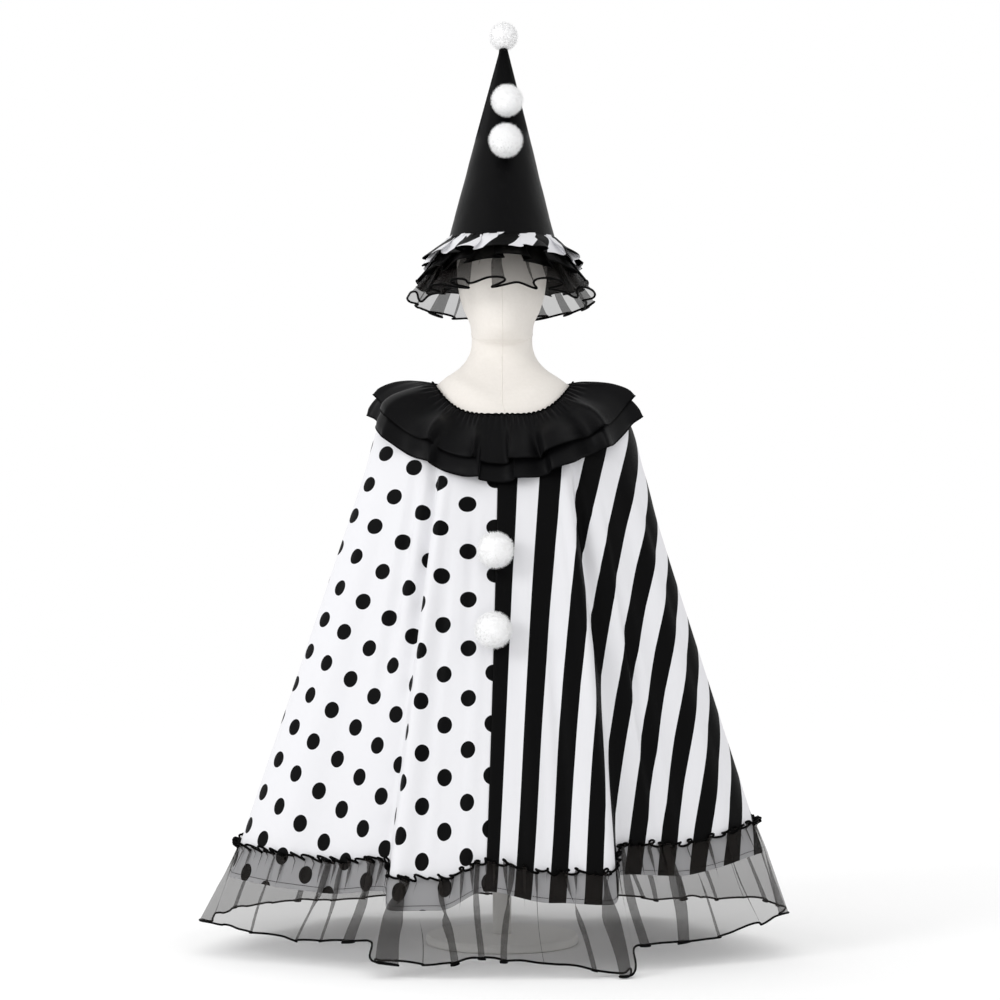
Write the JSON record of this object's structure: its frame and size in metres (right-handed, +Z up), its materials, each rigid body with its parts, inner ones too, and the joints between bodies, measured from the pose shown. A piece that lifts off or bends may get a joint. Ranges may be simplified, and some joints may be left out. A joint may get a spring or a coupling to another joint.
{
  "type": "cape with pointed hat on a dress form",
  "caption": "Flared costume cape in dots and stripes with a neck ruff and sheer hem flounce, and a tall pointed hat, on a limbless dress form with a round base.",
  "frame": {"origin": "centre of the stand's underside, on the floor", "axes": "+Z up, the cape's front towards -Y, the striped half towards +X"},
  "size_m": [0.9835, 0.7473, 1.6247],
  "materials": {
    "dotted_satin": "white polyester satin printed with black dots",
    "striped_satin": "polyester satin in wide black and white stripes",
    "black_chiffon": "matt black chiffon, two gathered layers",
    "black_organza": "sheer black organza with a rolled hem",
    "hat_satin": "black satin over a stiff cone",
    "print_satin": "black and white striped satin, gathered",
    "white_fur": "dense white fur pompom",
    "form_linen": "off-white linen over a padded form",
    "stand_paint": "off-white powder coat"
  },
  "bodies": {
    "root": {"cape_front_dots": "dotted_satin", "cape_back_dots": "dotted_satin", "cape_front_stripes": "striped_satin", "cape_back_stripes": "striped_satin", "ruff_lower": "black_chiffon", "ruff_upper": "black_chiffon", "hem_flounce_front": "black_organza", "hem_flounce_back": "black_organza", "hat_cone": "hat_satin", "hat_print_frill": "print_satin", "hat_short_frill": "black_organza", "hat_brim_frill": "black_organza", "hat_pompom_tip": "white_fur", "hat_pompom_upper": "white_fur", "hat_pompom_lower": "white_fur", "cape_pompom_upper": "white_fur", "cape_pompom_lower": "white_fur", "form_body": "form_linen", "stand_pole": "stand_paint", "stand_base": "stand_paint"}
  },
  "joints": []
}
